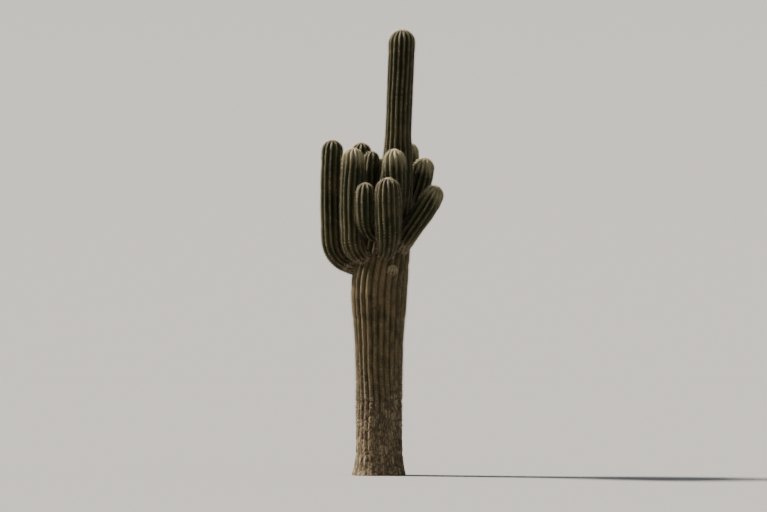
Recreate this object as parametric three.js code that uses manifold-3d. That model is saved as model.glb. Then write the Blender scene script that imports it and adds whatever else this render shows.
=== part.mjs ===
// A saguaro cactus. One ribbed trunk swells to its widest where the arms leave it, steps over
// to the right and narrows to a slim stem. Thick ribbed arms leave the trunk on narrower necks,
// turn up at an elbow and end in round tips, and a few young buds sit among them.
// Millimetres, +Z up, +X right, +Y back. The origin is the middle of the flat cut at the ground.

import * as THREE from "three";
import Module from "manifold-3d";

const wasm = await Module();
wasm.setup();

// Driving dimensions
const plantHeight = 6000;
const gap = 0.3; // between two pieces that meet

// Trunk, measured over the crests of its ribs
const trunkRadius = 310;
const stemRadius = 176; // the slim stem above the arms
const narrowingFrom = 3200;
const narrowingTo = 4700;
const swell = 68; // extra radius at the widest place
const swellHeight = 2600;
const swellReach = 700;
const flare = 60; // extra radius at the ground
const flareReach = 160;
const flareHeights = [0, 45, 110, 220, 400]; // rings close enough to follow the flare
const columnFrom = 700; // above this height the rings stand evenly

// Where the trunk's middle runs: upright, then a step to the right, then a slight lean
const stepFrom = 2350;
const stepTo = 4500;
const stepAside = 255;
const leanPerHeight = 0.04;

// Ribs of the trunk: in each sector one rib stays single and one splits in two lower down
const trunkSectors = 8;
const splitFrom = 4200; // sixteen ribs above this height
const splitTo = 3200; // twenty-four ribs below this one
const shoulderDepth = 0.25; // how deep a single rib's shoulders lie, as a share of a valley
const ribDepthAtGround = 9;
const ribDepth = 31;
const ribDepthFullAt = 2000;

// Arms and buds
const ribPitch = 78; // from crest to crest round an arm
const budRibs = 10;
const limbRibDepth = 0.19; // as a share of the radius
const armBow = 24; // how far an arm is pushed outwards half way up
const armBelly = 0.05; // how much an arm thickens between its elbow and its tip
const armTaper = 0.07; // how much it has narrowed again at its tip
const neckShare = 0.7; // an elbow's thickness at the trunk, as a share of the arm's
const neckUntil = 0.3; // the share of an elbow's length where the neck starts to thicken
const reachHandle = 0.75; // how far an elbow runs out before it turns, as a share of its reach
const riseHandle = 0.7; // how far it has turned before it ends, as a share of its rise
const elbowRings = 9;
const uprightRings = 6;
const tipLatitudes = [26, 50, 71]; // rings on a round tip, in degrees from its widest ring

// Each arm leaves the middle of the trunk at the height "leaves", climbing at "rise" degrees.
// Its elbow ends at "foot", from where it runs up to the top of its tip.
const arms = {
  arm_left: { leaves: 2765, rise: 0, foot: [-630, 50, 3190], tip: [-626, 50, 4510], radius: 147 },
  arm_front_left: { leaves: 2900, rise: 0, foot: [-347, -420, 3170], tip: [-338, -410, 4370], radius: 158 },
  arm_back_left: { leaves: 2950, rise: 4, foot: [-245, 470, 3300], tip: [-240, 485, 4500], radius: 148 },
  arm_beside_stem: { leaves: 3330, rise: 55, foot: [-112, 60, 3780], tip: [-88, 60, 4360], radius: 106 },
  arm_front: { leaves: 3440, rise: 8, foot: [205, -455, 3730], tip: [205, -470, 4350], radius: 152 },
  arm_right: { leaves: 3170, rise: 32, foot: [455, 150, 3640], tip: [634, 165, 4275], radius: 148 },
  arm_slanting: { leaves: 2830, rise: 25, foot: [478, -372, 3370], tip: [784, -580, 3850], radius: 146 },
  arm_low_front: { leaves: 2980, rise: 0, foot: [125, -830, 3340], tip: [120, -840, 3950], radius: 170 },
  arm_low_left: { leaves: 3200, rise: 0, foot: [-178, -690, 3450], tip: [-172, -705, 3890], radius: 122 },
  arm_back: { leaves: 2800, rise: 2, foot: [72, 520, 3140], tip: [72, 535, 4300], radius: 138 },
  arm_back_right: { leaves: 3000, rise: 8, foot: [400, 470, 3400], tip: [405, 485, 4500], radius: 136 },
};

// Each bud leaves the trunk at the compass angle "around", counted from the right, seen from above
const buds = {
  bud_front: { leaves: 3360, around: -118, length: 400, radius: 92 },
  bud_front_right: { leaves: 2500, around: -62, length: 450, radius: 70 },
  bud_back: { leaves: 3350, around: 112, length: 385, radius: 84 },
};
const budRise = 28; // the climb at which a bud leaves, in degrees
const budTurn = 62; // the climb of its end
const budTurnAt = 0.8; // the share of its length where it turns
const budNeck = 0.72; // its neck, as a share of its radius
const budNeckUntil = 0.6;
const budRings = 7;

const lerp = THREE.MathUtils.lerp;
const smooth = (value, from, to) => THREE.MathUtils.smoothstep(value, from, to);
const radians = THREE.MathUtils.degToRad;
const spread = (from, to, count) => Array.from({ length: count }, (_, i) => lerp(from, to, i / (count - 1)));

function trunkMiddle(height) {
  const aside = stepAside * smooth(height, stepFrom, stepTo);
  const lean = leanPerHeight * Math.max(0, height - stepTo);
  return new THREE.Vector3(aside + lean, 0, height);
}

function trunkRadiusAt(height) {
  const column = lerp(trunkRadius, stemRadius, smooth(height, narrowingFrom, narrowingTo));
  const belly = swell * Math.exp(-(((height - swellHeight) / swellReach) ** 2));
  return column + belly + flare * Math.exp(-height / flareReach);
}

// The columns of one ring: the angle of each and how deep it lies, 0 on a crest and 1 in a valley
function trunkColumns(height) {
  const split = 1 - smooth(height, splitTo, splitFrom);
  const singleWidth = lerp(1 / 2, 1 / 3, split);
  const pairWidth = 1 - singleWidth;
  const shoulder = lerp(shoulderDepth, 0, split);
  const sector = [
    { along: 0, depth: 1 },
    { along: singleWidth / 2, depth: 0 },
    { along: singleWidth, depth: 1 },
    { along: singleWidth + pairWidth / 4, depth: shoulder },
    { along: singleWidth + pairWidth / 2, depth: split },
    { along: singleWidth + (pairWidth * 3) / 4, depth: shoulder },
  ];
  const columns = [];
  for (let turn = 0; turn < trunkSectors; turn += 1) {
    for (const { along, depth } of sector) {
      columns.push({ angle: ((turn + along) / trunkSectors) * Math.PI * 2, depth });
    }
  }
  return columns;
}

function evenColumns(ribs) {
  return Array.from({ length: ribs * 2 }, (_, i) => ({ angle: (i / ribs) * Math.PI, depth: i % 2 }));
}

// One ring of points about a middle, in the plane of two unit vectors
function ring(middle, across, aside, radius, depth, columns) {
  return columns.map((column) => {
    const reach = radius - depth * column.depth;
    return middle
      .clone()
      .addScaledVector(across, reach * Math.cos(column.angle))
      .addScaledVector(aside, reach * Math.sin(column.angle));
  });
}

// A closed solid from rings of equal count, with a point that closes it at each end
function solid(rings, start, end) {
  const columns = rings[0].length;
  const points = [...rings.flat(), start, end];
  const startPoint = points.length - 2;
  const endPoint = points.length - 1;
  const last = rings.length - 1;
  const at = (row, column) => row * columns + (column % columns);
  const faces = [];
  for (let column = 0; column < columns; column += 1) {
    faces.push(startPoint, at(0, column + 1), at(0, column));
    faces.push(endPoint, at(last, column), at(last, column + 1));
    for (let row = 0; row < last; row += 1) {
      faces.push(at(row, column), at(row, column + 1), at(row + 1, column + 1));
      faces.push(at(row, column), at(row + 1, column + 1), at(row + 1, column));
    }
  }
  const vertProperties = new Float32Array(points.flatMap((point) => point.toArray()));
  return new wasm.Manifold(new wasm.Mesh({ numProp: 3, vertProperties, triVerts: new Uint32Array(faces) }));
}

// The trunk, or a cutter that stands proud of it by a clearance
function trunkSolid(clearance) {
  const domeFrom = plantHeight - stemRadius;
  const across = new THREE.Vector3(1, 0, 0);
  const aside = new THREE.Vector3(0, 1, 0);
  const lowRings = 9;
  const splitRings = 10;
  const stemRings = 5;
  const heights = [
    ...flareHeights,
    ...spread(columnFrom, splitTo, lowRings),
    ...spread(splitTo, stepTo, splitRings).slice(1),
    ...spread(stepTo, domeFrom, stemRings).slice(1),
  ];
  const rings = heights.map((height) => {
    const depth = lerp(ribDepthAtGround, ribDepth, smooth(height, 0, ribDepthFullAt));
    const radius = trunkRadiusAt(height) + clearance;
    return ring(trunkMiddle(height), across, aside, radius, depth, trunkColumns(height));
  });
  for (const latitude of tipLatitudes.map(radians)) {
    const height = domeFrom + stemRadius * Math.sin(latitude);
    const shrink = Math.cos(latitude);
    const radius = trunkRadiusAt(height) * shrink + clearance;
    rings.push(ring(trunkMiddle(height), across, aside, radius, ribDepth * shrink, trunkColumns(height)));
  }
  return solid(rings, trunkMiddle(0), trunkMiddle(plantHeight));
}

// A ribbed limb along a curve. Its columns keep their place about the plane that the arm turns in.
function limb(curve, sideways, ribs, radiusAt, ringCount, tipped) {
  const columns = evenColumns(ribs);
  const frameAt = (share) => {
    const along = curve.getTangent(share);
    const across = sideways.clone().cross(along).normalize();
    return { along, across, aside: along.clone().cross(across) };
  };
  const rings = spread(0, 1, ringCount).map((share) => {
    const { across, aside } = frameAt(share);
    const radius = radiusAt(share);
    return ring(curve.getPoint(share), across, aside, radius, radius * limbRibDepth, columns);
  });
  const end = curve.getPoint(1);
  if (!tipped) return solid(rings, curve.getPoint(0), end);
  const { along, across, aside } = frameAt(1);
  const tipRadius = radiusAt(1);
  for (const latitude of tipLatitudes.map(radians)) {
    const middle = end.clone().addScaledVector(along, tipRadius * Math.sin(latitude));
    const radius = tipRadius * Math.cos(latitude);
    rings.push(ring(middle, across, aside, radius, radius * limbRibDepth, columns));
  }
  return solid(rings, curve.getPoint(0), end.clone().addScaledVector(along, tipRadius));
}

function directionOf(outward, climb) {
  const direction = outward.clone().multiplyScalar(Math.cos(climb));
  direction.z = Math.sin(climb);
  return direction;
}

// The elbow and the upright of one arm
function armSolids({ leaves, rise, foot, tip, radius }) {
  const start = trunkMiddle(leaves);
  const bend = new THREE.Vector3(...foot);
  const top = new THREE.Vector3(...tip);
  const outward = bend.clone().sub(start).setZ(0);
  const reach = outward.length();
  outward.normalize();
  const sideways = new THREE.Vector3(-outward.y, outward.x, 0);
  const bow = bend.clone().lerp(top, 0.5).addScaledVector(outward, armBow);
  const upward = bow.clone().sub(bend).normalize();
  const inward = top.clone().sub(bow).normalize();
  const leaving = directionOf(outward, radians(rise));
  const elbow = new THREE.CubicBezierCurve3(
    start,
    start.clone().addScaledVector(leaving, reach * reachHandle),
    bend.clone().addScaledVector(upward, -(bend.z - start.z) * riseHandle),
    bend,
  );
  const tipRadius = radius * (1 - armTaper);
  const upright = new THREE.QuadraticBezierCurve3(
    bend.clone().addScaledVector(upward, gap),
    bow,
    top.clone().addScaledVector(inward, -tipRadius),
  );
  const ribs = Math.round((2 * Math.PI * radius) / ribPitch);
  const elbowRadius = (share) => radius * lerp(neckShare, 1, smooth(share, neckUntil, 1));
  const uprightRadius = (share) => {
    const belly = armBelly * Math.sin(Math.PI * share);
    return radius * (1 + belly - armTaper * share ** 2);
  };
  return {
    elbow: limb(elbow, sideways, ribs, elbowRadius, elbowRings, false),
    upright: limb(upright, sideways, ribs, uprightRadius, uprightRings, true),
  };
}

// A short round arm that has only begun to grow
function budSolid({ leaves, around, length, radius }) {
  const start = trunkMiddle(leaves);
  const outward = new THREE.Vector3(Math.cos(radians(around)), Math.sin(radians(around)), 0);
  const sideways = new THREE.Vector3(-outward.y, outward.x, 0);
  const leaving = directionOf(outward, radians(budRise));
  const ending = directionOf(outward, radians(budTurn));
  const turning = start.clone().addScaledVector(leaving, length * budTurnAt);
  const end = turning.clone().addScaledVector(ending, length * (1 - budTurnAt));
  const curve = new THREE.QuadraticBezierCurve3(start, turning, end);
  const radiusAt = (share) => radius * lerp(budNeck, 1, smooth(share, budNeckUntil, 1));
  return limb(curve, sideways, budRibs, radiusAt, budRings, true);
}

// What is left of a limb outside the trunk, without scraps that the cut leaves between two ribs
function clearOfTrunk(piece, cutter) {
  const pieces = piece.subtract(cutter).decompose();
  return pieces.reduce((largest, other) => (other.volume() > largest.volume() ? other : largest));
}

function named(name, piece, colour, roughness) {
  const { vertProperties, triVerts } = piece.getMesh();
  const geometry = new THREE.BufferGeometry();
  geometry.setAttribute("position", new THREE.BufferAttribute(vertProperties, 3));
  geometry.setIndex(new THREE.BufferAttribute(triVerts, 1));
  geometry.computeVertexNormals();
  const material = new THREE.MeshStandardMaterial({ color: colour, roughness, metalness: 0 });
  const mesh = new THREE.Mesh(geometry, material);
  mesh.name = name;
  return mesh;
}

const skinColour = 0x59603f;
const youngColour = 0x6a7248;
const trunkColour = 0x5c5640;
const skinRoughness = 0.7;

const cactus = new THREE.Group();
const cutter = trunkSolid(gap);
cactus.add(named("trunk", trunkSolid(0), trunkColour, skinRoughness));
for (const [name, arm] of Object.entries(arms)) {
  const { elbow, upright } = armSolids(arm);
  cactus.add(named(`${name}_elbow`, clearOfTrunk(elbow, cutter), skinColour, skinRoughness));
  cactus.add(named(`${name}_upright`, clearOfTrunk(upright, cutter), skinColour, skinRoughness));
}
for (const [name, bud] of Object.entries(buds)) {
  cactus.add(named(name, clearOfTrunk(budSolid(bud), cutter), youngColour, skinRoughness));
}

export default cactus;
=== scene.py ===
"""A saguaro cactus: ribbed skins with their relief, felted pads along the ribs, and spines."""
import itertools
import math
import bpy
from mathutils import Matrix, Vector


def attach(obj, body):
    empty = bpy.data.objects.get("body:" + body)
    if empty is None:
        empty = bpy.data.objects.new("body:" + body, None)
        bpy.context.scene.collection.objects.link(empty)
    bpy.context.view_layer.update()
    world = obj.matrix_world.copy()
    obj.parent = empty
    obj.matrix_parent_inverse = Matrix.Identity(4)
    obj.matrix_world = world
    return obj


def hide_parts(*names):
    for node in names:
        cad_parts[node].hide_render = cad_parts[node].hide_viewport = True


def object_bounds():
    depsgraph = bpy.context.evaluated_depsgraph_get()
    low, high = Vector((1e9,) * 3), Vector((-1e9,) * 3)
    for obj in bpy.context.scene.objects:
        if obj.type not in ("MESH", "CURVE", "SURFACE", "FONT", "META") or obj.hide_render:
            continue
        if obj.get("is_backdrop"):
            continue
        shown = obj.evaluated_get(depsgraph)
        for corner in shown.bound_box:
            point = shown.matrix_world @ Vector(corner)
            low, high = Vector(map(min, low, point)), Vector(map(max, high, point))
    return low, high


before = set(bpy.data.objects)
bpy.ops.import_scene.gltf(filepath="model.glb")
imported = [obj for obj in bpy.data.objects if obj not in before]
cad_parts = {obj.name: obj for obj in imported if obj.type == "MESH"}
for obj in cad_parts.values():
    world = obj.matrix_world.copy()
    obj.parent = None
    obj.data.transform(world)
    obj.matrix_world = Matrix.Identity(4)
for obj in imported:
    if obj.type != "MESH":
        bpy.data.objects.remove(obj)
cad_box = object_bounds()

from types import SimpleNamespace

import bpy
import numpy as np

# Driving dimensions in metres, as in the part's source. Angles are in degrees.
PLANT_HEIGHT = 6.0

# Trunk, measured over the crests of its ribs
TRUNK_RADIUS = 0.310
STEM_RADIUS = 0.176
NARROWING = (3.2, 4.7)
SWELL = 0.068
SWELL_HEIGHT = 2.6
SWELL_REACH = 0.7
FLARE = 0.060
FLARE_REACH = 0.160
STEP = (2.35, 4.5)  # between these heights the trunk steps aside
STEP_ASIDE = 0.255
LEAN_PER_HEIGHT = 0.04

# Ribs of the trunk: in each sector one rib stays single and one splits in two lower down
TRUNK_SECTORS = 8
SPLIT = (3.2, 4.2)
TRUNK_RIB_DEPTH = (0.009, 0.031)  # at the ground, and above the next height
RIB_DEPTH_FULL_AT = 2.0

# Arms and buds
RIB_PITCH = 0.078
BUD_RIBS = 10
LIMB_RIB_DEPTH = 0.19
ARM_BOW = 0.024
ARM_BELLY = 0.05
ARM_TAPER = 0.07
NECK_SHARE = 0.7
NECK_UNTIL = 0.3
REACH_HANDLE = 0.75
RISE_HANDLE = 0.7
# Each arm: the height where it leaves the trunk's middle, its climb there, where its elbow ends,
# the top of its tip, and its radius
ARMS = {
    "arm_left": (2.765, 0, (-0.630, 0.050, 3.190), (-0.626, 0.050, 4.510), 0.147),
    "arm_front_left": (2.90, 0, (-0.347, -0.420, 3.170), (-0.338, -0.410, 4.370), 0.158),
    "arm_back_left": (2.95, 4, (-0.245, 0.470, 3.300), (-0.240, 0.485, 4.500), 0.148),
    "arm_beside_stem": (3.33, 55, (-0.112, 0.060, 3.780), (-0.088, 0.060, 4.360), 0.106),
    "arm_front": (3.44, 8, (0.205, -0.455, 3.730), (0.205, -0.470, 4.350), 0.152),
    "arm_right": (3.17, 32, (0.455, 0.150, 3.640), (0.634, 0.165, 4.275), 0.148),
    "arm_slanting": (2.83, 25, (0.478, -0.372, 3.370), (0.784, -0.580, 3.850), 0.146),
    "arm_low_front": (2.98, 0, (0.125, -0.830, 3.340), (0.120, -0.840, 3.950), 0.170),
    "arm_low_left": (3.20, 0, (-0.178, -0.690, 3.450), (-0.172, -0.705, 3.890), 0.122),
    "arm_back": (2.80, 2, (0.072, 0.520, 3.140), (0.072, 0.535, 4.300), 0.138),
    "arm_back_right": (3.00, 8, (0.400, 0.470, 3.400), (0.405, 0.485, 4.500), 0.136),
}
# Each bud: the same height, its compass angle from the right, its length, its radius
BUDS = {
    "bud_front": (3.36, -118, 0.400, 0.092),
    "bud_front_right": (2.50, -62, 0.450, 0.070),
    "bud_back": (3.35, 112, 0.385, 0.084),
}
BUD_RISE = 28
BUD_TURN = 62
BUD_TURN_AT = 0.8
BUD_NECK = 0.72
BUD_NECK_UNTIL = 0.6

# Fine surface
RING_STEP = 0.016
BARK_RING_STEP = 0.011
BARK_RINGS_TO = 1.3
TIP_RING_STEP = 0.012
AREOLE_STEP = 0.032
CROWDED = 0.13  # how far below a round tip the areoles stand twice as close
COLUMNS_PER_RIB = 8
RIB_SHARPNESS = 0.8  # below 1 the valleys are narrower than the crests
HIDDEN_NECK = 0.06  # how far a limb's skin runs on inside the trunk
CURVE_SAMPLES = 160
SEED = 11

HASH_PRIMES = (73856093, 19349663, 83492791)
HASH_SEED_PRIME = 2654435761
HASH_ROUNDS = ((13, HASH_PRIMES[1]), (15, HASH_PRIMES[0]))
HASH_RANGE = 2 ** 31


def lerp(start, end, share):
    return start + (end - start) * share


def smooth(value, low, high):
    share = np.clip((value - low) / (high - low), 0, 1)
    return share * share * (3 - 2 * share)


def unit(vectors):
    return vectors / np.linalg.norm(vectors, axis=-1, keepdims=True)


def hashed(cells, seed):
    """A fixed number between -1 and 1 for each cell of a grid."""
    x, y, z = (cells[..., axis] * prime for axis, prime in enumerate(HASH_PRIMES))
    number = (x ^ y ^ z ^ seed * HASH_SEED_PRIME) % HASH_RANGE
    for bits, prime in HASH_ROUNDS:
        number = (number ^ number >> bits) * prime % HASH_RANGE
    return number / (HASH_RANGE / 2) - 1


def lumps(points, size, seed):
    """Smooth noise between -1 and 1, with lumps of this size, which may differ by axis."""
    grid = points / np.asarray(size)
    cell = np.floor(grid).astype(np.int64)
    part = grid - cell
    part = part * part * (3 - 2 * part)
    total = np.zeros(points.shape[:-1])
    for corner in itertools.product((0, 1), repeat=3):
        weight = np.prod(np.where(np.array(corner) == 1, part, 1 - part), axis=-1)
        total += weight * hashed(cell + np.array(corner), SEED + seed)
    return total


def bezier(ends, shares):
    """Points along the Bezier curve with these control points."""
    points = [np.tile(np.asarray(end, float), (len(shares), 1)) for end in ends]
    while len(points) > 1:
        points = [lerp(start, end, shares[:, None]) for start, end in zip(points, points[1:])]
    return points[0]


def evenly(line, radius, step):
    """The line and its radius again, at even steps along it."""
    gaps = np.linalg.norm(np.diff(line, axis=0), axis=1)
    travelled = np.concatenate([[0], np.cumsum(gaps)])
    marks = np.linspace(0, travelled[-1], max(3, round(travelled[-1] / step) + 1))
    placed = np.stack([np.interp(marks, travelled, line[:, axis]) for axis in range(3)], axis=1)
    return placed, np.interp(marks, travelled, radius), marks


# Trunk

def trunk_middle(height):
    aside = STEP_ASIDE * smooth(height, *STEP)
    lean = LEAN_PER_HEIGHT * np.maximum(0, height - STEP[1])
    return np.stack([aside + lean, np.zeros_like(aside), height + 0 * aside], axis=-1)


def trunk_radius(height):
    column = lerp(TRUNK_RADIUS, STEM_RADIUS, smooth(height, *NARROWING))
    belly = SWELL * np.exp(-(((height - SWELL_HEIGHT) / SWELL_REACH) ** 2))
    return column + belly + FLARE * np.exp(-height / FLARE_REACH)


def arch(share):
    """How high a rib stands across its width, from valley to valley."""
    return np.sin(np.pi * share) ** RIB_SHARPNESS


def trunk_columns(heights):
    """For each ring, the columns' angles, how high the ribs stand there, and which are crests."""
    split = 1 - smooth(heights, *SPLIT)[:, None]
    single = lerp(1 / 2, 1 / 3, split)
    across_single = np.arange(COLUMNS_PER_RIB) / COLUMNS_PER_RIB
    across_pair = np.arange(2 * COLUMNS_PER_RIB) / (2 * COLUMNS_PER_RIB)
    along = np.concatenate([single * across_single, single + (1 - single) * across_pair], axis=1)
    pair = lerp(arch(across_pair), arch(2 * across_pair % 1), split)
    rib = np.concatenate([np.tile(arch(across_single), (len(heights), 1)), pair], axis=1)
    crest = np.zeros(rib.shape, bool)
    crest[:, COLUMNS_PER_RIB // 2] = True
    parted = split[:, 0] > 0.5
    crest[~parted, 2 * COLUMNS_PER_RIB] = True
    crest[parted, COLUMNS_PER_RIB * 3 // 2] = True
    crest[parted, COLUMNS_PER_RIB * 5 // 2] = True
    turns = np.arange(TRUNK_SECTORS)[None, :, None]
    angles = (turns + along[:, None, :]) / TRUNK_SECTORS * 2 * np.pi
    repeated = (1, TRUNK_SECTORS)
    return angles.reshape(len(heights), -1), np.tile(rib, repeated), np.tile(crest, repeated)


def even_columns(ribs, rings):
    """The same for a limb whose ribs are all alike and never split."""
    column = np.arange(ribs * COLUMNS_PER_RIB)
    angles = column / len(column) * 2 * np.pi
    rib = arch((column / COLUMNS_PER_RIB + 0.5) % 1)
    crest = column % COLUMNS_PER_RIB == 0
    return tuple(np.tile(row, (rings, 1)) for row in (angles, rib, crest))


def tip_turns(radius):
    """Angles from the widest ring of a round tip to near its top, at even steps over it."""
    return np.linspace(0, np.pi / 2, round(radius * np.pi / 2 / TIP_RING_STEP))[1:-1]


def bearing_rings(travelled, straight):
    """Rings that bear areoles: at even steps along a limb, and every one near its tip."""
    steps = np.floor(travelled / AREOLE_STEP)
    return (np.diff(steps, prepend=-1) > 0) | (travelled > travelled[straight - 1] - CROWDED)


def trunk_limb():
    dome_from = PLANT_HEIGHT - STEM_RADIUS
    bark = np.linspace(0, BARK_RINGS_TO, round(BARK_RINGS_TO / BARK_RING_STEP) + 1)
    above = dome_from - BARK_RINGS_TO
    green = np.linspace(BARK_RINGS_TO, dome_from, round(above / RING_STEP) + 1)
    heights = np.concatenate([bark, green[1:]])
    turns = tip_turns(STEM_RADIUS)
    dome = dome_from + STEM_RADIUS * np.sin(turns)
    straight = len(heights)
    heights = np.concatenate([heights, dome])
    shrink = np.concatenate([np.ones(straight), np.cos(turns)])
    angles, rib, crest = trunk_columns(heights)
    rings = len(heights)
    return SimpleNamespace(
        name="trunk",
        nodes=("trunk",),
        slot="trunk_skin",
        middle=trunk_middle(heights),
        across=np.tile((1.0, 0.0, 0.0), (rings, 1)),
        aside=np.tile((0.0, 1.0, 0.0), (rings, 1)),
        radius=trunk_radius(heights) * shrink,
        depth=lerp(*TRUNK_RIB_DEPTH, smooth(heights, 0, RIB_DEPTH_FULL_AT)) * shrink,
        angles=angles,
        rib=rib,
        crest=crest & bearing_rings(heights, straight)[:, None],
        travelled=heights,
        straight=straight,
        end=trunk_middle(np.array(PLANT_HEIGHT)),
    )


# Limbs that leave the trunk

def outside_trunk(line):
    """Where a line has come near enough to the trunk's surface for its skin to start."""
    away = np.linalg.norm(line[:, :2] - trunk_middle(line[:, 2])[:, :2], axis=1)
    return away > trunk_radius(line[:, 2]) - HIDDEN_NECK


def side_limb(name, nodes, slot, line, radius, sideways, ribs):
    """A limb's rings: even steps along its line, then over its round tip."""
    start = np.argmax(outside_trunk(line))
    middle, radius, travelled = evenly(line[start:], radius[start:], RING_STEP)
    along = unit(np.gradient(middle, axis=0))
    turns = tip_turns(radius[-1])
    straight = len(middle)
    tip = middle[-1] + along[-1] * radius[-1] * np.sin(turns)[:, None]
    end = middle[-1] + along[-1] * radius[-1]
    middle = np.concatenate([middle, tip])
    along = np.concatenate([along, np.tile(along[-1], (len(turns), 1))])
    travelled = np.concatenate([travelled, travelled[-1] + radius[-1] * turns])
    radius = np.concatenate([radius, radius[-1] * np.cos(turns)])
    across = unit(np.cross(sideways, along))
    angles, rib, crest = even_columns(ribs, len(middle))
    return SimpleNamespace(
        name=name,
        nodes=nodes,
        slot=slot,
        middle=middle,
        across=across,
        aside=np.cross(along, across),
        radius=radius,
        depth=radius * LIMB_RIB_DEPTH,
        angles=angles,
        rib=rib,
        crest=crest & bearing_rings(travelled, straight)[:, None],
        travelled=travelled,
        straight=straight,
        end=end,
    )


def climbing(outward, climb):
    """A unit vector that climbs at this angle while it goes outward."""
    climb = math.radians(climb)
    return outward * math.cos(climb) + np.array((0, 0, math.sin(climb)))


def arm_limb(name, leaves, rise, foot, tip, radius):
    start = trunk_middle(np.array(leaves))
    foot = np.array(foot)
    top = np.array(tip)
    reach = (foot - start) * (1, 1, 0)
    outward = unit(reach)
    bow = lerp(foot, top, 0.5) + outward * ARM_BOW
    upward = unit(bow - foot)
    inward = unit(top - bow)
    first_handle = start + climbing(outward, rise) * np.linalg.norm(reach) * REACH_HANDLE
    second_handle = foot - upward * (foot[2] - start[2]) * RISE_HANDLE
    shares = np.linspace(0, 1, CURVE_SAMPLES)
    elbow = bezier([start, first_handle, second_handle, foot], shares)
    upright = bezier([foot, bow, top - inward * radius * (1 - ARM_TAPER)], shares)
    elbow_radius = radius * lerp(NECK_SHARE, 1, smooth(shares, NECK_UNTIL, 1))
    upright_radius = radius * (1 + ARM_BELLY * np.sin(np.pi * shares) - ARM_TAPER * shares ** 2)
    line = np.concatenate([elbow, upright[1:]])
    thickness = np.concatenate([elbow_radius, upright_radius[1:]])
    sideways = np.array((-outward[1], outward[0], 0))
    ribs = round(2 * math.pi * radius / RIB_PITCH)
    nodes = (name + "_elbow", name + "_upright")
    return side_limb(name, nodes, "arm_skin", line, thickness, sideways, ribs)


def bud_limb(name, leaves, around, length, radius):
    start = trunk_middle(np.array(leaves))
    around = math.radians(around)
    outward = np.array((math.cos(around), math.sin(around), 0))
    turning = start + climbing(outward, BUD_RISE) * length * BUD_TURN_AT
    end = turning + climbing(outward, BUD_TURN) * length * (1 - BUD_TURN_AT)
    shares = np.linspace(0, 1, CURVE_SAMPLES)
    line = bezier([start, turning, end], shares)
    thickness = radius * lerp(BUD_NECK, 1, smooth(shares, BUD_NECK_UNTIL, 1))
    sideways = np.array((-outward[1], outward[0], 0))
    return side_limb(name, (name,), "bud_skin", line, thickness, sideways, BUD_RIBS)


# Skin

WAIST_STEPS = (0.26, 0.5)  # the least and most between two years' slight waists
WAIST_REACH = 0.035
WAIST_DEPTH = 0.02  # of the strongest waist, as a share of the radius
WAIST_STRENGTH = (0.4, 1)
WOBBLE = (0.005, 0.32)  # how far broad swellings stand out, and their size
DIMPLE = (0.0016, 0.06)
RIB_WANDER = (0.012, 0.5)  # how far the ribs wander round a limb, in turns, and over what length
TUBERCLE = 0.0018  # how far a crest stands out at its areoles, and in between as far back
TUBERCLE_NARROWNESS = 3  # the higher, the closer that keeps to the middle of the crest
# Each name with RAGGED says how far an edge wanders, and over what length
CORK_TOP = (0.20, 1.50)  # from here to here up the trunk, corky bark gives way to green skin
CORK_RAGGED = (0.5, (0.11, 0.11, 0.6))
CORK_CLIMB = 0.4  # how much higher it reaches on the crests of the ribs
# How far bark reaches up a limb from its neck, and the most of the limb that it covers
NECK_CORK = (0.16, 0.2)
NECK_CORK_RAGGED = (0.5, 0.07)  # the first as a share of that reach
PLATE_SIZE = (0.062, 0.062, 0.125)
PLATE_SHIFT = 0.42  # how far each plate lies from the middle of its cell at most, as a share of it
PLATE_BEND = (0.022, 0.09)  # how far their edges wander, and over what length
PLATE_RISE = 0.0035
PLATE_ROUGH = (0.0020, 0.03)
CRACK_WIDTH = 0.22  # as a share of a plate
CRACK_DEPTH = 0.007
AGED = (2.4, 3.9)  # from here to here up the trunk, tanned skin gives way to fresh green
AGED_RAGGED = (0.5, (0.2, 0.2, 0.7))
NECK_AGE = 0.45  # how tanned a limb is at its neck
NECK_AGE_UNTIL = 0.6  # where that has faded, as a share of the limb
NECK_AGE_RAGGED = (0.15, 0.2)
YOUNG = (0.08, 0.38)  # from here to here down from a tip, pale new growth with painted sunlight on the cap gives way to dark skin
YOUNG_RAGGED = (0.09, (0.04, 0.04, 0.16))
PALENESS = 0.7  # of the new growth at most tips, partly its own pale colour and partly painted sunlight on the caps
# Which pattern of noise each thing follows
WOBBLE_NOISE = 1
DIMPLE_NOISE = 2
ROUGH_NOISE = 4
CORK_NOISE = 5
BEND_NOISES = (8, 9, 10)
AGE_NOISE = 12
YOUNG_NOISE = 13
PLATE_NOISES = (21, 22, 23)
TONE_NOISE = 24

# The paleness of the tips in shade, painted darker than most as painted shade
SHADED_TIPS = {
    "trunk": 0.1,
    "arm_left": 0.1,
    "arm_back_left": 0.1,
    "arm_beside_stem": 0.15,
    "arm_slanting": 0.5,
    "arm_low_front": 0.0,
    "arm_low_left": 0.05,
}


def waists(travelled, rng):
    """How much each ring is drawn in by the slight waists between years of growth."""
    drawn = np.zeros_like(travelled)
    place = rng.uniform(*WAIST_STEPS)
    while place < travelled[-1]:
        drawn += np.exp(-(((travelled - place) / WAIST_REACH) ** 2)) * rng.uniform(*WAIST_STRENGTH)
        place += rng.uniform(*WAIST_STEPS)
    return drawn * WAIST_DEPTH


def cork_of(limb, points):
    """How far the skin has turned to bark, from 0 to 1."""
    if limb.name == "trunk":
        ragged = CORK_RAGGED[0] * lumps(points, CORK_RAGGED[1], CORK_NOISE) - CORK_CLIMB * limb.rib
        return 1 - smooth(points[..., 2] + ragged, *CORK_TOP)
    reach = min(NECK_CORK[0], NECK_CORK[1] * limb.travelled[-1])
    ragged = reach * NECK_CORK_RAGGED[0] * lumps(points, NECK_CORK_RAGGED[1], CORK_NOISE)
    return 1 - smooth(limb.travelled[:, None] + ragged, HIDDEN_NECK, HIDDEN_NECK + reach)


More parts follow.
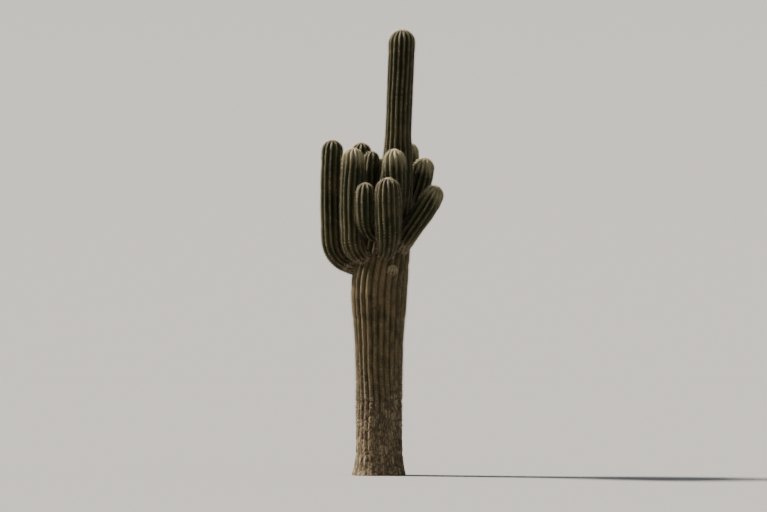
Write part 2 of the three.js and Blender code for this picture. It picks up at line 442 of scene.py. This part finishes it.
def plates_of(points):
    """Bark in plates: how near each point is to a crack, from 0 to 1, and its plate's own tone."""
    bend, size = PLATE_BEND
    bent = points + bend * np.stack([lumps(points, size, seed) for seed in BEND_NOISES], axis=-1)
    grid = bent / np.asarray(PLATE_SIZE)
    cell = np.floor(grid).astype(np.int64)
    nearest = np.full(points.shape[:-1], np.inf)
    second = nearest
    tone = np.zeros_like(nearest)
    for step in itertools.product((-1, 0, 1), repeat=3):
        beside = cell + np.array(step)
        shift = np.stack([hashed(beside, SEED + seed) for seed in PLATE_NOISES], axis=-1)
        away = np.linalg.norm(beside + 0.5 + PLATE_SHIFT * shift - grid, axis=-1)
        closer = away < nearest
        second = np.where(closer, nearest, np.minimum(second, away))
        nearest = np.where(closer, away, nearest)
        tone = np.where(closer, (1 + hashed(beside, SEED + TONE_NOISE)) / 2, tone)
    return 1 - smooth(second - nearest, 0, CRACK_WIDTH), tone


def age_of(limb, points):
    """How far sun and years have tanned the skin, from 0 to 1."""
    if limb.name == "trunk":
        ragged = AGED_RAGGED[0] * lumps(points, AGED_RAGGED[1], AGE_NOISE)
        return 1 - smooth(points[..., 2] + ragged, *AGED)
    ragged = NECK_AGE_RAGGED[0] * lumps(points, NECK_AGE_RAGGED[1], AGE_NOISE)
    until = NECK_AGE_UNTIL * limb.travelled[-1]
    return NECK_AGE * (1 - smooth(limb.travelled[:, None] + ragged, 0, until))


def fresh_and_sunlit(limb):
    """How pale a limb's tip is painted, from 0 to 1: fresh growth with painted sunlight on its cap,
    less on tips in painted shade.
    """
    return SHADED_TIPS.get(limb.name, PALENESS)


def surface(limb, rng):
    """The skin's points, ring by ring, and what its material needs to know of each."""
    steady = np.stack([limb.travelled, 0 * limb.travelled, 0 * limb.travelled], axis=-1)
    wander_noise = len(limb.name)  # so that limbs differ
    wander = RIB_WANDER[0] * lumps(steady, RIB_WANDER[1], wander_noise)
    angles = (limb.angles + wander[:, None] * 2 * np.pi)[..., None]
    spokes = np.cos(angles) * limb.across[:, None] + np.sin(angles) * limb.aside[:, None]
    narrowed = limb.radius * (1 - waists(limb.travelled, rng))
    reach = narrowed[:, None] - limb.depth[:, None] * (1 - limb.rib)
    points = limb.middle[:, None] + spokes * reach[..., None]
    cork = cork_of(limb, points)
    barked = cork > 0
    crack, tone = np.zeros_like(cork), np.zeros_like(cork)
    crack[barked], tone[barked] = plates_of(points[barked])
    full = (limb.radius / limb.radius[0]).clip(0, 1)[:, None]
    relief = WOBBLE[0] * lumps(points, WOBBLE[1], WOBBLE_NOISE)
    relief += DIMPLE[0] * lumps(points, DIMPLE[1], DIMPLE_NOISE)
    bearing = limb.crest.any(axis=1)[:, None]
    relief += TUBERCLE * (1 - cork) * np.where(bearing, 1, -1) * limb.rib ** TUBERCLE_NARROWNESS
    rough = PLATE_ROUGH[0] * lumps(points, PLATE_ROUGH[1], ROUGH_NOISE)
    relief += cork * (rough + PLATE_RISE * tone - CRACK_DEPTH * crack)
    left = limb.travelled[-1] - limb.travelled[:, None]
    left = left + YOUNG_RAGGED[0] * lumps(points, YOUNG_RAGGED[1], YOUNG_NOISE)
    # Pale new growth near a tip, brightened by painted sunlight on the cap and dimmed on tips in
    # painted shade
    young = (1 - smooth(left, *YOUNG)) * fresh_and_sunlit(limb)
    age = age_of(limb, points)
    marks = {"rib": limb.rib, "cork": cork, "crack": crack, "tone": tone, "age": age, "young": young}
    return points + spokes * (relief * full)[..., None], marks


def grid_faces(rings, columns, start, end):
    """Quads between rings, and the triangles that close both ends, as vertex numbers."""
    ring = np.arange(rings - 1)[:, None]
    column = np.arange(columns)[None, :]
    following = (column + 1) % columns
    corners = (
        ring * columns + column,
        ring * columns + following,
        (ring + 1) * columns + following,
        (ring + 1) * columns + column,
    )
    quads = np.stack(np.broadcast_arrays(*corners), axis=-1).reshape(-1, 4)
    column, following = column[0], following[0]
    top = (rings - 1) * columns
    start_fan = np.stack([np.full(columns, start), following, column], axis=1)
    end_fan = np.stack([np.full(columns, end), top + column, top + following], axis=1)
    return quads, np.concatenate([start_fan, end_fan])


def new_mesh(name, vertices, quads, triangles):
    """A mesh of quads, then triangles."""
    mesh = bpy.data.meshes.new(name)
    corners = np.concatenate([quads.ravel(), triangles.ravel()]).astype(np.int32)
    sizes = np.concatenate([np.full(len(quads), 4), np.full(len(triangles), 3)])
    mesh.vertices.add(len(vertices))
    mesh.vertices.foreach_set("co", vertices.astype(np.float32).ravel())
    mesh.loops.add(len(corners))
    mesh.loops.foreach_set("vertex_index", corners)
    mesh.polygons.add(len(sizes))
    mesh.polygons.foreach_set("loop_start", (np.cumsum(sizes) - sizes).astype(np.int32))
    mesh.update(calc_edges=True)
    return mesh


def show(mesh):
    """Puts a mesh in the scene as a piece that rides on the plant's one body."""
    piece = bpy.data.objects.new(mesh.name, mesh)
    bpy.context.scene.collection.objects.link(piece)
    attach(piece, "root")
    return piece


UV_MARGIN = 0.01


def unwrap(mesh, rings, columns):
    """Unrolls the skin: around the limb across the map, and along it up the map."""
    column = np.arange(columns)[None, :] + np.zeros((rings - 1, 1))
    row = np.arange(rings - 1)[:, None] + np.zeros((1, columns))
    u = np.stack([column, column + 1, column + 1, column], axis=-1) / columns
    v = np.stack([row + 1, row + 1, row + 2, row + 2], axis=-1) / (rings + 1)
    sides = np.stack([u, v], axis=-1).reshape(-1, 2)
    fans = []
    middle = np.arange(columns) + 0.5
    for low, high, first, second in ((0, 1, 0.5, -0.5), (rings + 1, rings, -0.5, 0.5)):
        across = np.stack([middle, middle + first, middle + second], axis=-1) / columns
        along = np.array((low, high, high)) / (rings + 1) + 0 * across
        fans.append(np.stack([across, along], axis=-1).reshape(-1, 2))
    places = lerp(UV_MARGIN, 1 - UV_MARGIN, np.concatenate([sides, *fans]))
    layer = mesh.uv_layers.new(name="OFBake")
    layer.data.foreach_set("uv", places.astype(np.float32).ravel())


def skin(limb, points, marks, material):
    """The limb's skin as one closed mesh, with the marks that its material reads."""
    rings, columns = limb.rib.shape
    start = limb.middle[0]
    vertices = np.concatenate([points.reshape(-1, 3), [start, limb.end]])
    quads, triangles = grid_faces(rings, columns, rings * columns, rings * columns + 1)
    mesh = new_mesh("skin_" + limb.name, vertices, quads, triangles)
    mesh.shade_smooth()
    if limb.name == "trunk":
        rounded = np.ones(len(mesh.polygons), bool)
        rounded[len(quads):len(quads) + columns] = False  # the flat cut at the ground
        mesh.polygons.foreach_set("use_smooth", rounded)
    for name, values in marks.items():
        layer = mesh.attributes.new(name, "FLOAT", "POINT")
        ends = (values[0].mean(), values[-1].mean())
        layer.data.foreach_set("value", np.concatenate([values.ravel(), ends]).astype(np.float32))
    unwrap(mesh, rings, columns)
    mesh.materials.append(material)
    piece = show(mesh)
    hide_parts(*limb.nodes)


# Areoles: the felted pads on the crests, and the spines that stand on them

BARE_BELOW = (0.40, 1.15)  # spines are shed low on the trunk
OLD_SPINES = (1.2, 2.9)  # from here to here up the trunk they grow shorter
OLD_LENGTH = 1.45
TIP_LENGTH = 0.9
YOUNG_SPINES = 0.5  # how far below a tip the spines keep their straw colour
SHADED_TIP_SPINES = 0.35  # how much of that colour is left at the tip in the darkest painted shade
RADIALS = 8
RADIAL_TILT = (60, 84)
RADIAL_LENGTH = (0.013, 0.022)
CENTRALS = 4
CENTRAL_TILT = (12, 52)
CENTRAL_LENGTH = (0.022, 0.033)
SPINE_TURN = 0.06  # how far each is out of its even place round the pad, at most, in turns
SPINE_THICKNESS = 0.0011
PAD_HALF = (0.0065, 0.0045, 0.0035)  # along the rib, across it and out of it
PAD_SINK = 0.001
# Shares of straw, grey and brown spines, and of brown and grey felt
OLD_KINDS = (0.12, 0.46, 0.42)
YOUNG_KINDS = (0.72, 0.12, 0.16)
OLD_FELT = (0.35, 0.65)
YOUNG_FELT = (0.85, 0.15)
PIECE_TRIANGLES = 150000

# A place nearer the middle than this share of the radius is hidden, in the trunk and in a limb
IN_TRUNK = 0.99
IN_LIMB = 0.97
RINGS_BETWEEN = 3  # of a limb's rings, one in so many is enough to tell


def normals_of(points):
    """The skin's outward direction at each point, and the direction along its rib."""
    around = np.roll(points, -1, axis=1) - np.roll(points, 1, axis=1)
    along = unit(np.gradient(points, axis=0))
    out = unit(np.cross(around, along))
    return out, unit(along - out * np.sum(along * out, axis=-1, keepdims=True))


def inside_trunk(places):
    away = np.linalg.norm(places[:, :2] - trunk_middle(places[:, 2])[:, :2], axis=1)
    return away < trunk_radius(places[:, 2]) * IN_TRUNK


def inside_limb(places, limb):
    """Which places lie inside another limb, ring by ring of it."""
    gaps = np.linalg.norm(places[:, None] - limb.middle[None, ::RINGS_BETWEEN], axis=2)
    return (gaps < limb.radius[None, ::RINGS_BETWEEN] * IN_LIMB).any(axis=1)


def areoles(limb, points, others, rng):
    """Where the areoles of a limb are, how they face, how long their spines are, and how young they are
    with the painted sunlight of their tip.
    """
    out, along = normals_of(points)
    rings, columns = np.nonzero(limb.crest)
    place = points[rings, columns]
    length = np.where(rings >= limb.straight, TIP_LENGTH, 1.0)
    young = 1 - smooth(limb.travelled[-1] - limb.travelled[rings], 0, YOUNG_SPINES)
    # Straw spines are fewer at tips that are painted in shade
    young = young * lerp(SHADED_TIP_SPINES, 1, fresh_and_sunlit(limb) / PALENESS)
    if limb.name == "trunk":
        length *= lerp(OLD_LENGTH, 1, smooth(place[:, 2], *OLD_SPINES))
        kept = rng.random(len(place)) < smooth(place[:, 2], *BARE_BELOW)
        for other in others:
            kept &= ~inside_limb(place, other)
    else:
        kept = ~inside_trunk(place)
    pick = (rings[kept], columns[kept])
    return SimpleNamespace(
        place=place[kept], out=out[pick], along=along[pick], length=length[kept], young=young[kept])


def kinds_of(young, old_shares, young_shares, rng):
    """Deals out a kind, as a number, to each thing by how young it is, with painted sunlight at the
    tips.
    """
    shares = lerp(np.array(old_shares), np.array(young_shares), young[:, None])
    return (rng.random((len(young), 1)) > np.cumsum(shares, axis=1)[:, :-1]).sum(axis=1)


def pad_shapes(spots, rng):
    """An octahedron on each areole, half sunk in the skin."""
    aside = np.cross(spots.out, spots.along)
    half_long, half_wide, half_high = PAD_HALF
    middle = spots.place - spots.out * PAD_SINK
    rim = [spots.along * half_long, aside * half_wide, -spots.along * half_long, -aside * half_wide]
    corners = rim + [spots.out * half_high, -spots.out * half_high]
    points = np.stack([middle + corner for corner in corners], axis=1)
    upper = [(i, (i + 1) % 4, 4) for i in range(4)]
    lower = [((i + 1) % 4, i, 5) for i in range(4)]
    vertices, triangles = numbered(points, np.array(upper + lower))
    kinds = kinds_of(spots.young, OLD_FELT, YOUNG_FELT, rng)
    return vertices, triangles, np.repeat(kinds, len(upper + lower))


def numbered(points, faces):
    """Joins equal small shapes: their points in a row, and their faces by number."""
    shapes, corners = points.shape[:2]
    offsets = np.arange(shapes)[:, None, None] * corners
    return points.reshape(-1, 3), (faces[None] + offsets).reshape(-1, 3)


def spine_shapes(spots, rng):
    """Thin three-sided spikes: flat ones all round each pad and a few that stand out from it."""
    count = len(spots.place)
    total = RADIALS + CENTRALS
    turn = np.concatenate([np.arange(RADIALS) / RADIALS, np.arange(CENTRALS) / CENTRALS])
    turn = turn + rng.random((count, 1)) + rng.uniform(-SPINE_TURN, SPINE_TURN, (count, total))
    azimuth = turn * 2 * np.pi
    radial_tilt = rng.uniform(*RADIAL_TILT, (count, RADIALS))
    central_tilt = rng.uniform(*CENTRAL_TILT, (count, CENTRALS))
    tilt = np.radians(np.concatenate([radial_tilt, central_tilt], axis=1))[..., None]
    radial_length = rng.uniform(*RADIAL_LENGTH, (count, RADIALS))
    central_length = rng.uniform(*CENTRAL_LENGTH, (count, CENTRALS))
    length = np.concatenate([radial_length, central_length], axis=1) * spots.length[:, None]
    out, along = spots.out[:, None], spots.along[:, None]
    aside = np.cross(out, along)
    cosine, sine = np.cos(azimuth)[..., None], np.sin(azimuth)[..., None]
    flat = cosine * along + sine * aside
    direction = np.cos(tilt) * out + np.sin(tilt) * flat
    root = spots.place[:, None] + flat * PAD_HALF[1] / 2
    first = cosine * aside - sine * along
    second = np.cross(direction, first)
    base = [root + SPINE_THICKNESS * (math.cos(corner) * first + math.sin(corner) * second)
            for corner in np.arange(3) * 2 * np.pi / 3]
    points = np.stack([*base, root + direction * length[..., None]], axis=2).reshape(-1, 4, 3)
    faces = np.array([(0, 1, 3), (1, 2, 3), (2, 0, 3), (0, 2, 1)])
    vertices, triangles = numbered(points, faces)
    kinds = kinds_of(np.repeat(spots.young, total), OLD_KINDS, YOUNG_KINDS, rng)
    return vertices, triangles, np.repeat(kinds, len(faces))


def in_pieces(shapes):
    """Parts a list of shapes into runs that each stay small enough for one piece."""
    run = []
    for shape in shapes:
        if run and sum(len(other[1]) for other in run) + len(shape[1]) > PIECE_TRIANGLES:
            yield run
            run = []
        run.append(shape)
    yield run


def joined(name, shapes, materials):
    """One piece from many small shapes, each face in the colour of its kind."""
    starts = np.cumsum([0] + [len(vertices) for vertices, _, _ in shapes[:-1]])
    vertices = np.concatenate([vertices for vertices, _, _ in shapes])
    triangles = np.concatenate([shape[1] + start for shape, start in zip(shapes, starts)])
    kinds = np.concatenate([kinds for _, _, kinds in shapes])
    mesh = new_mesh(name, vertices, np.zeros((0, 4), int), triangles)
    for material in materials:
        mesh.materials.append(material)
    mesh.polygons.foreach_set("material_index", kinds.astype(np.int32))
    show(mesh)


# Materials

DULL = 0.10  # the specular level of skin, felt and spines, where plain plastic has 0.5
# Where a mix node keeps its share and its two colours, and the colour that it gives
COLOUR_MIX_INPUTS = (0, 6, 7)
COLOUR_MIX_OUTPUT = 2


def new_material(name):
    material = bpy.data.materials.new(name)
    material.use_nodes = True
    nodes = material.node_tree.nodes
    return material, material.node_tree, nodes["Principled BSDF"]


def plain(name, colour, roughness):
    material, _, shader = new_material(name)
    shader.inputs["Base Color"].default_value = (*colour, 1)
    shader.inputs["Roughness"].default_value = roughness
    shader.inputs["Specular IOR Level"].default_value = DULL
    return material


def texture_node(tree, kind, scale, stretch):
    """A texture that keeps its place on the plant. Scale is in lumps to the metre."""
    place = tree.nodes.new("ShaderNodeTexCoord")
    fit = tree.nodes.new("ShaderNodeMapping")
    fit.inputs["Scale"].default_value = stretch
    texture = tree.nodes.new(kind)
    texture.inputs["Scale"].default_value = scale
    tree.links.new(place.outputs["Object"], fit.inputs["Vector"])
    tree.links.new(fit.outputs["Vector"], texture.inputs["Vector"])
    return texture


def noise(tree, scale, detail, stretch=(1, 1, 1)):
    texture = texture_node(tree, "ShaderNodeTexNoise", scale, stretch)
    texture.inputs["Detail"].default_value = detail
    return texture.outputs["Fac"]


def fissures(tree, scale, stretch):
    """How far a place is from the nearest of the thin cracks that part small scales."""
    texture = texture_node(tree, "ShaderNodeTexVoronoi", scale, stretch)
    texture.feature = "DISTANCE_TO_EDGE"
    return texture.outputs["Distance"]


def attribute(tree, name):
    node = tree.nodes.new("ShaderNodeAttribute")
    node.attribute_name = name
    return node.outputs["Fac"]


def ramp(tree, value, stops):
    """Colours along a value, as pairs of a place and a colour."""
    node = tree.nodes.new("ShaderNodeValToRGB")
    while len(node.color_ramp.elements) < len(stops):
        node.color_ramp.elements.new(0.5)
    for element, (place, colour) in zip(node.color_ramp.elements, stops):
        element.position = place
        element.color = (*colour, 1)
    tree.links.new(value, node.inputs["Fac"])
    return node.outputs["Color"]


def feed(tree, socket, value):
    """Gives a socket its value, which is another node's output, a number or a colour."""
    if isinstance(value, bpy.types.NodeSocket):
        tree.links.new(value, socket)
    elif isinstance(value, (int, float)):
        socket.default_value = value
    else:
        socket.default_value = (*value, 1)


def mixed(tree, share, first, second, blend="MIX"):
    """Two colours or sockets mixed by a share, which is a number or a socket."""
    node = tree.nodes.new("ShaderNodeMix")
    node.data_type = "RGBA"
    node.blend_type = blend
    for number, value in zip(COLOUR_MIX_INPUTS, (share, first, second)):
        feed(tree, node.inputs[number], value)
    return node.outputs[COLOUR_MIX_OUTPUT]


def ranged(tree, value, low, high, to_low, to_high):
    """A value carried from one range to another, and held there."""
    node = tree.nodes.new("ShaderNodeMapRange")
    node.interpolation_type = "SMOOTHSTEP"
    limits = {"From Min": low, "From Max": high, "To Min": to_low, "To Max": to_high}
    for socket, limit in limits.items():
        node.inputs[socket].default_value = limit
    tree.links.new(value, node.inputs["Value"])
    return node.outputs["Result"]


def combined(tree, operation, first, second):
    node = tree.nodes.new("ShaderNodeMath")
    node.operation = operation
    for socket, value in zip(node.inputs, (first, second)):
        feed(tree, socket, value)
    return node.outputs[0]


def shaded(tree, share, colour, value, low, high, darkest):
    """A colour darkened where a value is low."""
    tone = ramp(tree, value, [(low, (darkest,) * 3), (high, (1.0,) * 3)])
    return mixed(tree, share, colour, tone, "MULTIPLY")


MARKS = ("rib", "cork", "crack", "tone", "age", "young")
BARK_DARK = (0.045, 0.033, 0.020)
FOOT_BARK = (BARK_DARK, (0.150, 0.112, 0.066), (0.270, 0.215, 0.135))
NECK_BARK = ((0.062, 0.047, 0.030), (0.200, 0.156, 0.098), (0.345, 0.285, 0.190))
TANNED = (0.110, 0.080, 0.038)
# The pale colour of new growth at the tips, raised as painted sunlight on the caps
PALE = (0.360, 0.330, 0.190)
SCAB = (0.085, 0.060, 0.038)

# Patterns on the skin: their lumps to the metre, then detail and stretch where they have them
BROAD = (1.9, 3)
BLOTCHES = (10, 5, (1, 1, 0.5))
FLECKS = (55, 4)
PORES = (190, 3)
WRINKLES = (34, 5, (1, 1, 3.2))
SCALES = (38, (1, 1, 0.4))

NOISE_SPAN = (0.3, 0.7)  # nearly all that noise gives lies between these
# How far noise shifts the shades of a rib, the edge of the bark and the edges of its cracks
RIB_SHIFT = 0.13
EDGE_SHIFT = 0.3
CRACK_SHIFT = 0.22
FLANK = (0.40, 0.80)  # from here to here up a rib its colour stays the same
BARK_EDGE = (0.42, 0.58)  # from here to here, with more and more cork, skin turns to bark
ROUGH_EDGE = (0.3, 0.7)  # and turns rough
ROUGHNESS = (0.55, 0.95)  # of skin and of bark
BUMP_STRENGTH = 0.6
BUMP_HEIGHT = 0.004
PORE_SHARE = 0.25  # of the bump, where the flecks of bark have a whole share
WRINKLE_SHARE = 0.4


def skin_patterns(tree, grain):
    return SimpleNamespace(
        broad=noise(tree, *BROAD),
        blotches=noise(tree, *BLOTCHES),
        flecks=noise(tree, *FLECKS, grain),
        pores=noise(tree, *PORES),
        wrinkles=noise(tree, *WRINKLES),
    )


def uneven(tree, value, pattern, shift):
    """A value that noise shifts by up to this much either way."""
    return combined(tree, "ADD", value, ranged(tree, pattern, *NOISE_SPAN, -shift, shift))


def fresh_colour(tree, marks, patterns, valley, flank, crest):
    """Green skin with painted shade dark in the valleys, bleached on the crests, and pale where it is
    young and where sunlight is painted on the caps.
    """
    shades = [(0.0, valley), (FLANK[0], flank), (FLANK[1], flank), (1.0, crest)]
    green = ramp(tree, uneven(tree, marks.rib, patterns.blotches, RIB_SHIFT), shades)
    # The pale caps also get painted shade in their valleys
    pale = shaded(tree, 1.0, PALE, marks.rib, 0.0, 0.7, 0.35)
    return mixed(tree, ranged(tree, marks.young, 0, 1, 0, 0.9), green, pale)


def weathered(tree, marks, patterns, green):
    """The green skin tanned with age, with blotches, wrinkles and scabs."""
    tanning = ranged(tree, patterns.blotches, 0.32, 0.62, 0.35, 0.95)
    tanning = combined(tree, "MULTIPLY", marks.age, tanning)
    tanning = combined(tree, "ADD", tanning, ranged(tree, patterns.broad, 0.52, 0.72, 0.0, 0.3))
    # Tanned skin gets painted shade in its valleys too
    tanned = shaded(tree, 1.0, TANNED, marks.rib, 0.0, 0.8, 0.30)
    colour = mixed(tree, tanning, green, tanned)
    colour = shaded(tree, 0.6, colour, patterns.blotches, 0.3, 0.68, 0.5)
    colour = shaded(tree, 0.5, colour, patterns.wrinkles, 0.34, 0.6, 0.72)
    scabs = combined(tree, "ADD", patterns.flecks, ranged(tree, marks.age, 0, 1, -0.06, 0.05))
    return mixed(tree, ranged(tree, scabs, 0.66, 0.71, 0, 0.85), colour, SCAB)


def bark_colour(tree, marks, patterns, colours):
    """Corky bark, each plate in its own tone, with fine scales and the dark cracks between plates."""
    bark = ramp(tree, patterns.flecks, list(zip((0.30, 0.46, 0.70), colours)))
    bark = shaded(tree, 0.8, bark, marks.tone, 0.0, 1.0, 0.35)
    bark = shaded(tree, 0.5, bark, patterns.blotches, 0.32, 0.66, 0.5)
    bark = shaded(tree, 0.6, bark, fissures(tree, *SCALES), 0.0, 0.12, 0.3)
    split = uneven(tree, marks.crack, patterns.flecks, CRACK_SHIFT)
    return mixed(tree, ranged(tree, split, 0.40, 0.75, 0, 0.85), bark, BARK_DARK)


def skin_bump(tree, patterns, barked):
    """Pores and fine wrinkles all over, and the flecks of the bark."""
    bump = tree.nodes.new("ShaderNodeBump")
    bump.inputs["Strength"].default_value = BUMP_STRENGTH
    bump.inputs["Distance"].default_value = BUMP_HEIGHT
    pores = combined(tree, "MULTIPLY", patterns.pores, PORE_SHARE)
    wrinkles = combined(tree, "MULTIPLY", patterns.wrinkles, WRINKLE_SHARE)
    flecks = combined(tree, "MULTIPLY", barked, patterns.flecks)
    height = combined(tree, "ADD", combined(tree, "ADD", pores, wrinkles), flecks)
    tree.links.new(height, bump.inputs["Height"])
    return bump.outputs["Normal"]


def skin_material(name, valley, flank, crest, grain, bark_colours):
    """Waxy skin that turns to rough bark with a ragged edge."""
    material, tree, shader = new_material(name)
    shader.inputs["Specular IOR Level"].default_value = DULL
    marks = SimpleNamespace(**{mark: attribute(tree, mark) for mark in MARKS})
    patterns = skin_patterns(tree, grain)
    green = weathered(tree, marks, patterns, fresh_colour(tree, marks, patterns, valley, flank, crest))
    edge = uneven(tree, marks.cork, patterns.flecks, EDGE_SHIFT)
    barked = ranged(tree, edge, *BARK_EDGE, 0, 1)
    colour = mixed(tree, barked, green, bark_colour(tree, marks, patterns, bark_colours))
    tree.links.new(colour, shader.inputs["Base Color"])
    tree.links.new(ranged(tree, edge, *ROUGH_EDGE, *ROUGHNESS), shader.inputs["Roughness"])
    tree.links.new(skin_bump(tree, patterns, barked), shader.inputs["Normal"])
    return material


# The plant

UPRIGHT_GRAIN = (1, 1, 0.3)
EVEN_GRAIN = (1, 1, 1)
# Each skin: its colour in the valleys, on the flanks and on the crests of the ribs, how its flecks
# are stretched, and the dark, middle and light colours of its bark. All the skin colours are painted
# darker than the real skin as painted shade, the valleys darkest; the arm skin is painted darker than
# the trunk skin for the shade on the arms, and the bud skin paler as painted sunlight on the buds.
SKINS = {
    "trunk_skin": (
        (0.004, 0.004, 0.0015), (0.020, 0.021, 0.007), (0.056, 0.051, 0.023), UPRIGHT_GRAIN, FOOT_BARK),
    "arm_skin": (
        (0.003, 0.004, 0.0015), (0.016, 0.019, 0.006), (0.044, 0.043, 0.018), EVEN_GRAIN, NECK_BARK),
    "bud_skin": (
        (0.010, 0.012, 0.004), (0.045, 0.050, 0.016), (0.110, 0.102, 0.046), EVEN_GRAIN, NECK_BARK),
}
# The kinds of spine and of felt, each with its colour and its roughness
SPINES = {
    "spine_straw": ((0.52, 0.44, 0.27), 0.55),
    "spine_grey": ((0.16, 0.140, 0.105), 0.6),
    "spine_brown": ((0.065, 0.043, 0.026), 0.6),
}
FELTS = {
    "felt_brown": ((0.13, 0.096, 0.060), 0.95),
    "felt_grey": ((0.12, 0.110, 0.087), 0.95),
}


def dressed(limb, others, seed):
    """Makes a limb's skin and gives the shapes of its pads and spines."""
    rng = np.random.default_rng([SEED, seed])
    points, marks = surface(limb, rng)
    skin(limb, points, marks, skins[limb.slot])
    spots = areoles(limb, points, others, rng)
    return pad_shapes(spots, rng), spine_shapes(spots, rng)


skins = {name: skin_material(name, *looks) for name, looks in SKINS.items()}
spine_materials = [plain(name, *looks) for name, looks in SPINES.items()]
felt_materials = [plain(name, *looks) for name, looks in FELTS.items()]

trunk = trunk_limb()
arms = [arm_limb(name, *sizes) for name, sizes in ARMS.items()]
buds = [bud_limb(name, *sizes) for name, sizes in BUDS.items()]

trunk_pads, trunk_spines = dressed(trunk, arms + buds, 0)
joined("pads_trunk", [trunk_pads], felt_materials)
joined("spines_trunk", [trunk_spines], spine_materials)
limb_shapes = [dressed(limb, [], number) for number, limb in enumerate(arms + buds, start=1)]
joined("pads_arms", [pads for pads, _ in limb_shapes], felt_materials)
for number, shapes in enumerate(in_pieces(spines for _, spines in limb_shapes), start=1):
    joined(f"spines_arms_{number}", shapes, spine_materials)


# Floor, light and camera

FLOOR_SIZE = 400
FLOOR_COLOUR = (0.208, 0.206, 0.203)
ZENITH_COLOUR = (0.46, 0.50, 0.56)
ZENITH_FROM = 0.6  # the rise at which the sky has its full brightness, as a share of straight up
GRADIENT_LOSS = 0.3  # what a smooth rise takes from the light on the floor, times that share squared
EYE_HEIGHT = 1.6
CAMERA_AWAY = 48
PICTURE_SHAPE = 767 / 512
SENSOR = 36
VIEW_HEIGHT = 6.9  # how much of the plant's height and the air round it the picture takes in
LOOK_AT = (0.06, 0, 2.95)
# Each light: where it comes from, its breadth in degrees, its strength and its colour
LIGHTS = {
    "key": ((-12.0, 4.5, 14.5), 9, 19.5, (1.0, 0.93, 0.82)),
    "fill": ((9, -14, 7), 60, 0.25, (0.92, 0.95, 1.0)),
}


def floor():
    half = FLOOR_SIZE / 2
    corners = [(-half, -half, 0), (half, -half, 0), (half, half, 0), (-half, half, 0)]
    mesh = bpy.data.meshes.new("floor")
    mesh.from_pydata(corners, [], [(0, 1, 2, 3)])
    material = plain("floor", FLOOR_COLOUR, 1.0)
    material.node_tree.nodes["Principled BSDF"].inputs["Specular IOR Level"].default_value = 0
    mesh.materials.append(material)
    piece = bpy.data.objects.new("floor", mesh)
    bpy.context.scene.collection.objects.link(piece)
    piece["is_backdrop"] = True


def aimed(thing, target):
    """Turns a lamp or camera to look at a point."""
    to_target = np.asarray(target, float) - np.asarray(thing.location)
    pan = math.atan2(-to_target[0], to_target[1])
    climb = math.atan2(to_target[2], math.hypot(*to_target[:2]))
    thing.rotation_euler = (math.pi / 2 + climb, 0, pan)


def light(name, place, breadth, strength, colour):
    lamp = bpy.data.lights.new(name, "SUN")
    lamp.angle = math.radians(breadth)
    lamp.energy = strength
    lamp.color = colour
    thing = bpy.data.objects.new(name, lamp)
    thing.location = place
    bpy.context.scene.collection.objects.link(thing)
    aimed(thing, LOOK_AT)


def horizon_colour():
    """The colour of the far floor, from what the sky and the lights throw on it."""
    floor_colour = np.array(FLOOR_COLOUR)
    lit = np.array(ZENITH_COLOUR) * (1 - GRADIENT_LOSS * ZENITH_FROM ** 2)
    for place, _, strength, colour in LIGHTS.values():
        toward = unit(np.array(place) - LOOK_AT)
        lit += np.array(colour) * strength * toward[2] / math.pi
    return floor_colour * lit / (1 - floor_colour * GRADIENT_LOSS * ZENITH_FROM ** 2)


def sky():
    """A pale sky whose horizon is as bright as the far floor, so no line shows between them."""
    world = bpy.data.worlds.new("studio")
    world.use_nodes = True
    tree = world.node_tree
    place = tree.nodes.new("ShaderNodeTexCoord")
    parts = tree.nodes.new("ShaderNodeSeparateXYZ")
    tree.links.new(place.outputs["Generated"], parts.inputs["Vector"])
    rise = ranged(tree, parts.outputs["Z"], 0, ZENITH_FROM, 0, 1)
    colour = mixed(tree, rise, horizon_colour(), ZENITH_COLOUR)
    tree.links.new(colour, tree.nodes["Background"].inputs["Color"])
    bpy.context.scene.world = world


def camera():
    lens = bpy.data.cameras.new("camera")
    lens.sensor_width = SENSOR
    lens.lens = SENSOR * CAMERA_AWAY / (VIEW_HEIGHT * PICTURE_SHAPE)
    lens.clip_end = FLOOR_SIZE
    thing = bpy.data.objects.new("camera", lens)
    thing.location = (LOOK_AT[0], -CAMERA_AWAY, EYE_HEIGHT)
    aimed(thing, LOOK_AT)
    bpy.context.scene.collection.objects.link(thing)
    bpy.context.scene.camera = thing


floor()
sky()
for name, sizes in LIGHTS.items():
    light(name, *sizes)
camera()

visual_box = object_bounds()
boxes = {"cad": cad_box, "visual": visual_box}
{name: [list(corner) for corner in box] for name, box in boxes.items()}
